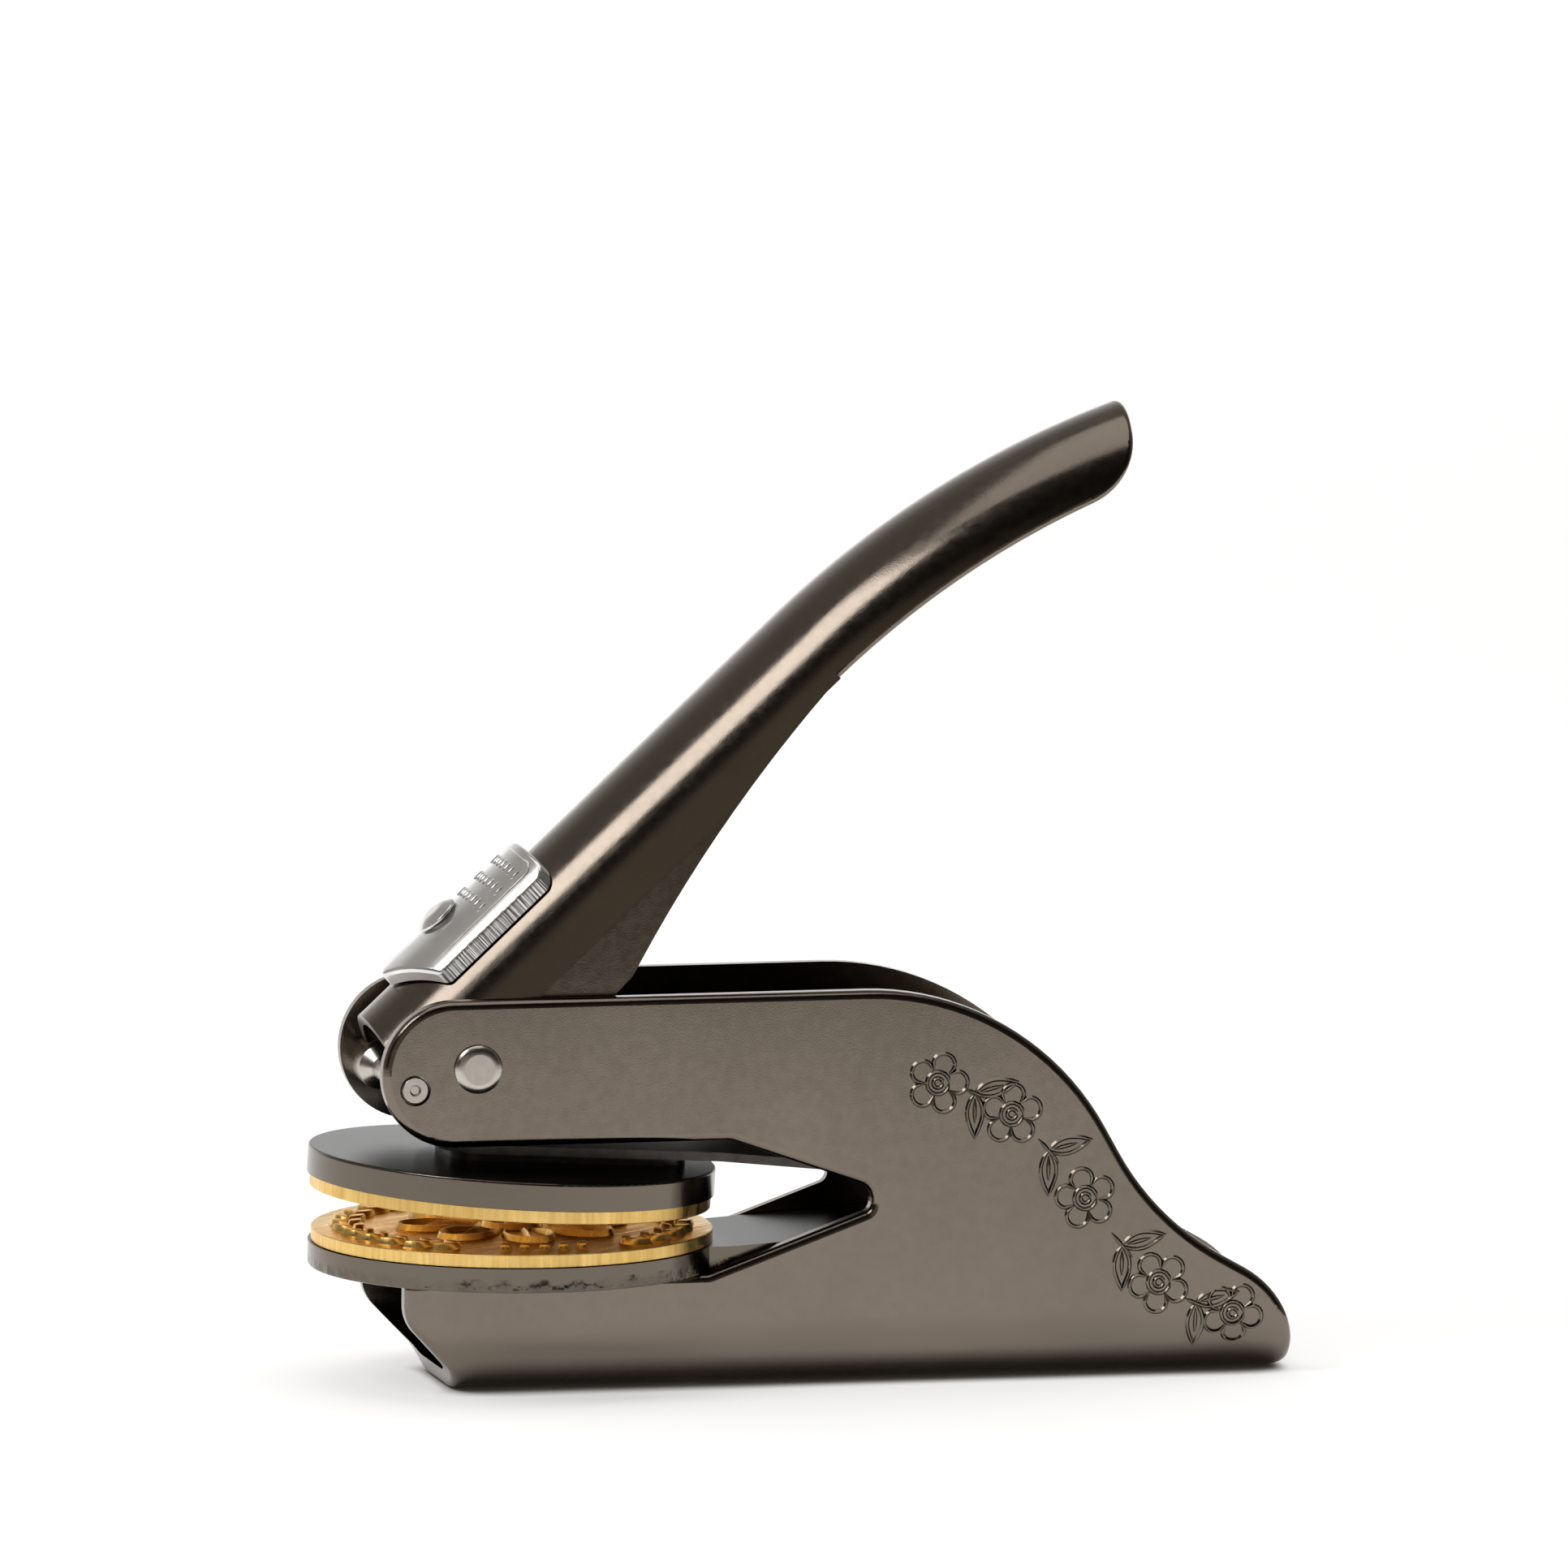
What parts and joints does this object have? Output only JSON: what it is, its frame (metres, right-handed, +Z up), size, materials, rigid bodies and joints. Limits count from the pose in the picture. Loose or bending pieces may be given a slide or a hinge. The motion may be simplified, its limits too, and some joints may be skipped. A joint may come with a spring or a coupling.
{
  "type": "seal embosser",
  "caption": "Hand-held seal embosser: crowned lever in a folded steel frame presses round brass dies together, with a sliding thumb latch.",
  "frame": {"origin": "where the axis of the dies meets the surface that the frame stands on", "axes": "+X from the dies to the tail, +Y across the cheeks, +Z up"},
  "size_m": [0.1103, 0.0456, 0.1087],
  "materials": {
    "frame": "satin dark nickel plate on pressed steel",
    "handle": "satin dark nickel plate on pressed steel",
    "pins": "nickel plate",
    "carrier": "satin dark nickel plate",
    "die": "turned brass with a brushed face",
    "inner": "plain pressed steel",
    "inner_rivets": "plain steel",
    "pins_inner": "ground steel",
    "roller": "ground steel",
    "latch": "bright chrome plate",
    "spring": "tempered spring steel"
  },
  "bodies": {
    "frame": {"frame": "frame", "pivot_rivet": "pins", "lock_pin": "pins", "lower_carrier": "carrier", "lower_die": "die", "clip_block": "inner", "clip_rivets": "inner_rivets", "clip_bracket": "inner", "bracket_rivets": "inner_rivets"},
    "handle": {"handle": "handle", "pivot_bush": "pins_inner", "press_pin": "pins_inner"},
    "roller": {"press_roller": "roller"},
    "latch": {"latch_plate": "latch", "latch_button": "latch", "latch_hook": "inner", "latch_washer": "spring"},
    "upper_die": {"upper_carrier": "carrier", "upper_die": "die", "upper_arm": "spring", "arm_shim": "inner", "carrier_rivets": "inner_rivets"}
  },
  "joints": [
    {"name": "handle_hinge", "type": "hinge", "parent": "frame", "child": "handle", "pos_m": [-0.00665, 0, 0.037], "axis": [0, 1, 0], "range_deg": [0, 36], "stiffness_Nm_per_rad": 0.12, "springref_deg": -34.38},
    {"name": "die_swing", "type": "hinge", "parent": "frame", "child": "upper_die", "pos_m": [0.0436, 0, 0.0236], "axis": [0, -1, 0], "range_deg": [0, 3.3], "deforming": ["upper_arm"]},
    {"name": "latch_slide", "type": "slide", "parent": "handle", "child": "latch", "axis": [-0.7325, 0, -0.6807], "range_m": [0, 0.0019]},
    {"name": "roller_spin", "type": "hinge", "parent": "handle", "child": "roller", "pos_m": [-0.00022, 0, 0.03042], "axis": [0, 1, 0], "continuous": true}
  ],
  "couplings": [
    {"joint": "die_swing", "follows": "handle_hinge", "ratio": 0.091667}
  ]
}
